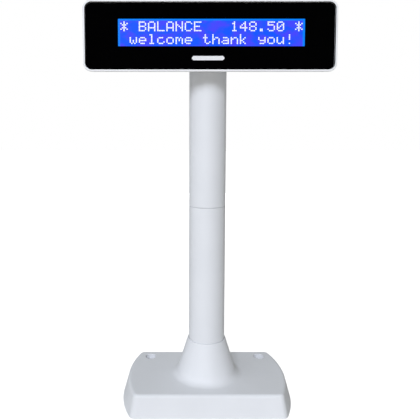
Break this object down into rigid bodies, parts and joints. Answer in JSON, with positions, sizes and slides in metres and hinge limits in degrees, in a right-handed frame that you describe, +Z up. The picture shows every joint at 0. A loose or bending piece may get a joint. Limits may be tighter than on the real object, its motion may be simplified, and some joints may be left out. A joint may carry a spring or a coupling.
{
  "type": "customer pole display",
  "caption": "Counter-top customer display: weighted base with conical neck, round pole, and a swivelling, tilting head with a backlit character screen behind a black lens.",
  "frame": {"origin": "on the counter, on the pole's axis, in the middle of the four rubber feet", "axes": "+X to the right of a customer who faces the screen, +Y away from that customer, +Z up along the pole"},
  "size_m": [0.2024, 0.09, 0.3429],
  "materials": {
    "white_abs": "fine satin moulded",
    "black_plastic": "moulded",
    "plug_plastic": "satin moulded",
    "natural_acetal": "self-lubricating, smooth",
    "nylon": "translucent natural",
    "plate_steel": "black powder coat",
    "zinc_steel": "zinc plated",
    "cast_ballast": "rough, painted grey",
    "spring_steel": "phosphated",
    "foot_rubber": "matt",
    "lens_acrylic": "clear acrylic, polished",
    "mask_print": "black screen print",
    "bezel_metal": "black coated sheet steel",
    "cell_glass": "blue negative liquid crystal cell",
    "light_guide": "milky acrylic light guide",
    "zebra_rubber": "silicone with carbon stripes",
    "board_green": "solder mask",
    "chip_epoxy": "moulded epoxy",
    "capacitor_can": "anodised can",
    "connector_ivory": "nylon",
    "pin_header": "black strip with plated pins",
    "brass": "machined",
    "lead_jacket": "PVC jacket"
  },
  "bodies": {
    "stand": {"base_cover": "white_abs", "screw_hole_plugs": "plug_plastic", "base_plate": "plate_steel", "rubber_feet": "foot_rubber", "base_screws": "zinc_steel", "ballast_right": "cast_ballast", "ballast_left": "cast_ballast", "ballast_screws": "zinc_steel", "pole_flange": "black_plastic", "flange_screws": "zinc_steel", "pole_grub_screw": "zinc_steel", "socket_board": "board_green", "socket_board_washers": "nylon", "socket_board_screws": "zinc_steel", "data_socket": "black_plastic", "lead_header": "connector_ivory", "display_lead": "lead_jacket", "lower_pole": "white_abs", "upper_pole": "white_abs", "pole_coupler": "black_plastic", "coupler_screws": "zinc_steel", "swivel_bush": "natural_acetal", "swivel_friction_washer": "spring_steel"},
    "knuckle": {"swivel_knuckle": "white_abs", "swivel_retaining_clip": "spring_steel"},
    "head": {"hinge_bracket": "zinc_steel", "hinge_bracket_screws": "zinc_steel", "tilt_friction_washers": "spring_steel", "tilt_bolts": "zinc_steel", "tilt_nuts": "zinc_steel", "front_housing": "white_abs", "rear_cover": "white_abs", "housing_screws": "zinc_steel", "front_lens": "lens_acrylic", "lens_mask": "mask_print", "lcd_bezel": "bezel_metal", "lcd_glass": "cell_glass", "lcd_backlight": "light_guide", "lcd_contact_strips": "zebra_rubber", "lcd_board": "board_green", "lcd_board_screws": "zinc_steel", "lcd_driver_chips": "chip_epoxy", "main_board": "board_green", "board_standoffs": "brass", "main_board_screws": "zinc_steel", "board_header": "pin_header", "main_board_chips": "chip_epoxy", "main_board_capacitors": "capacitor_can", "lead_socket": "connector_ivory", "lead_plug": "connector_ivory", "head_lead": "lead_jacket"}
  },
  "joints": [
    {"name": "head_swivel", "type": "hinge", "parent": "stand", "child": "knuckle", "pos_m": [0, 0, 0.2958], "axis": [0, 0, 1], "range_deg": [-135, 135]},
    {"name": "head_tilt", "type": "hinge", "parent": "knuckle", "child": "head", "pos_m": [0, 0, 0.31], "axis": [-1, 0, 0], "range_deg": [-6, 28]}
  ]
}
